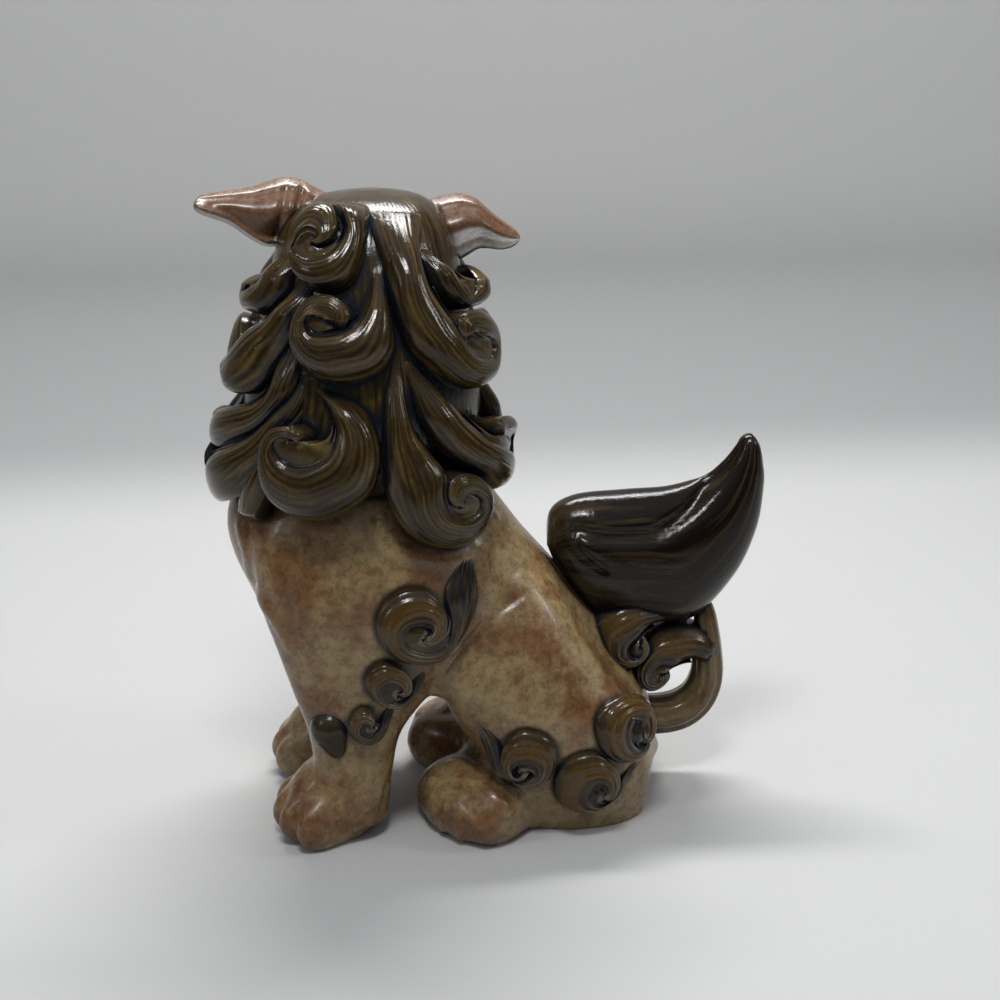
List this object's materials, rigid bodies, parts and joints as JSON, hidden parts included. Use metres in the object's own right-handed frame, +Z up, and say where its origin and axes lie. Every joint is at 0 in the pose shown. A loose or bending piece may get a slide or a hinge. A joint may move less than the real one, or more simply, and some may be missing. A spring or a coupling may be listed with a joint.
{
  "type": "guardian lion dog figurine",
  "caption": "Seated guardian lion dog in glazed stoneware: curled mane turned to one side, flame-shaped tail plume and a looped tail.",
  "frame": {"origin": "centre of the figure's plan box, on the plane of its soles", "axes": "+Z up; the chest looks along -X and the tail along +X; the left flank faces -Y, and the turned head looks along +Y"},
  "size_m": [0.1728, 0.09, 0.2002],
  "materials": {
    "body_glaze": "satin reddish-brown stoneware glaze, mottled tan and green",
    "mane_glaze": "thick glossy olive-brown glaze with ochre streaks",
    "curl_glaze": "glossy grey-olive glaze with amber centres",
    "plume_glaze": "glossy near-black brown glaze",
    "ear_glaze": "satin pinkish-brown glaze",
    "eye_glaze": "glossy black glaze"
  },
  "bodies": {
    "root": {"brow_left": "mane_glaze", "brow_right": "mane_glaze", "ear_left": "ear_glaze", "ear_right": "ear_glaze", "eye_left": "eye_glaze", "eye_right": "eye_glaze", "foreleg_left": "body_glaze", "foreleg_right": "body_glaze", "forepaw_left": "body_glaze", "forepaw_right": "body_glaze", "haunch_curl_1_left": "curl_glaze", "haunch_curl_1_right": "curl_glaze", "haunch_curl_2_left": "curl_glaze", "haunch_curl_2_right": "curl_glaze", "haunch_curl_3_left": "curl_glaze", "haunch_curl_3_right": "curl_glaze", "haunch_left": "body_glaze", "haunch_right": "body_glaze", "head": "mane_glaze", "hind_foot_left": "body_glaze", "hind_foot_right": "body_glaze", "lock_beard_left": "mane_glaze", "lock_beard_right": "mane_glaze", "lock_cheek_left_lower": "mane_glaze", "lock_cheek_left_upper": "mane_glaze", "lock_cheek_right_lower": "mane_glaze", "lock_cheek_right_upper": "mane_glaze", "lock_crown": "mane_glaze", "lock_left_ear": "mane_glaze", "lock_left_lower": "mane_glaze", "lock_left_middle": "mane_glaze", "lock_left_upper": "mane_glaze", "lock_nape_lower": "mane_glaze", "lock_nape_upper": "mane_glaze", "lock_right_ear": "mane_glaze", "lock_right_lower": "mane_glaze", "lock_right_middle": "mane_glaze", "lock_right_upper": "mane_glaze", "lower_jaw": "body_glaze", "muzzle": "body_glaze", "nose": "body_glaze", "shoulder_ball_left": "curl_glaze", "shoulder_ball_right": "curl_glaze", "shoulder_curl_1_left": "curl_glaze", "shoulder_curl_1_right": "curl_glaze", "shoulder_curl_2_left": "curl_glaze", "shoulder_curl_2_right": "curl_glaze", "shoulder_curl_3_left": "curl_glaze", "shoulder_curl_3_right": "curl_glaze", "tail_curl_lower": "curl_glaze", "tail_curl_upper": "curl_glaze", "tail_plume": "plume_glaze", "tail_ring": "curl_glaze", "torso": "body_glaze"}
  },
  "joints": []
}
